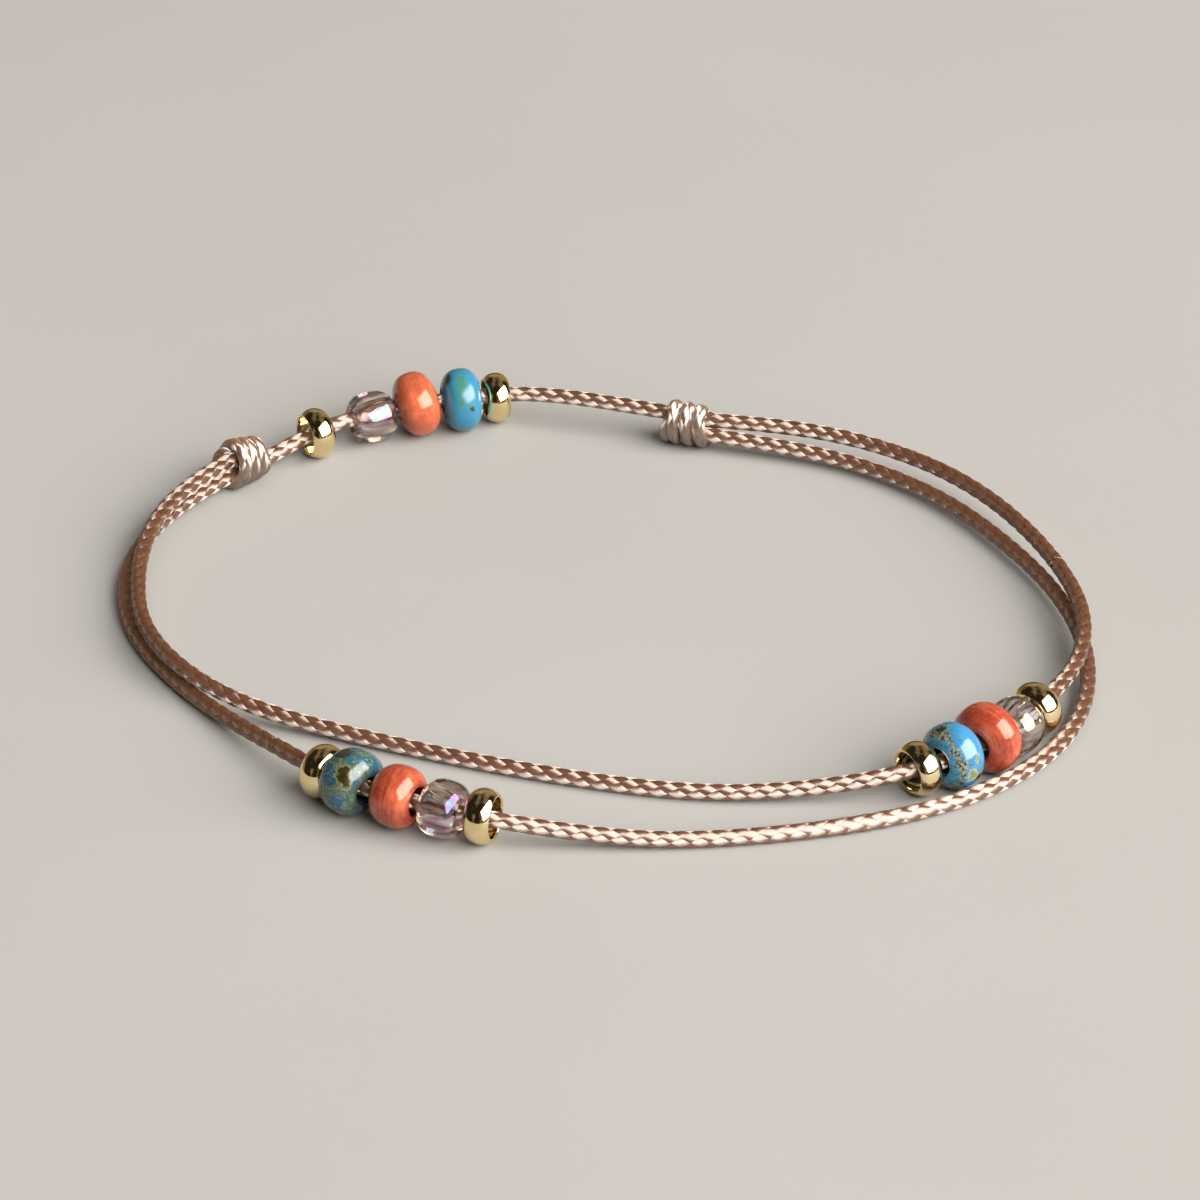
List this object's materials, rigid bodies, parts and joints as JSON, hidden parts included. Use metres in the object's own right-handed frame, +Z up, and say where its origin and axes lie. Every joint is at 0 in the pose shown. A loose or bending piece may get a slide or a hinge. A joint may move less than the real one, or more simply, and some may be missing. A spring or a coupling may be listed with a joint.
{
  "type": "beaded cord anklet",
  "caption": "Adjustable anklet: a braided cord looped twice round, closed by sliding wrapped knots, with groups of turquoise, coral and clear glass beads between gold rings.",
  "frame": {"origin": "middle of the loop's box, on the surface that the anklet lies on", "axes": "+Z up from that surface; the two sliding knots are on the +Y side and the left bead group on the -Y side; +X to the right as seen from -Y"},
  "size_m": [0.0722, 0.066, 0.0053],
  "materials": {
    "cord": "braided waxed cord, silky gloss",
    "gold": "polished gold plate",
    "turquoise": "glossy opaque turquoise glass with brown and green mottling",
    "coral": "glossy opaque coral glass",
    "clear": "clear blush glass with a rainbow lustre"
  },
  "bodies": {
    "root": {"cord": "cord", "left_knot": "cord", "right_knot": "cord", "back_gold_1": "gold", "back_clear": "clear", "back_coral": "coral", "back_turquoise": "turquoise", "back_gold_2": "gold", "left_gold_1": "gold", "left_clear": "clear", "left_coral": "coral", "left_turquoise": "turquoise", "left_gold_2": "gold", "right_gold_1": "gold", "right_clear": "clear", "right_coral": "coral", "right_turquoise": "turquoise", "right_gold_2": "gold"}
  },
  "joints": []
}
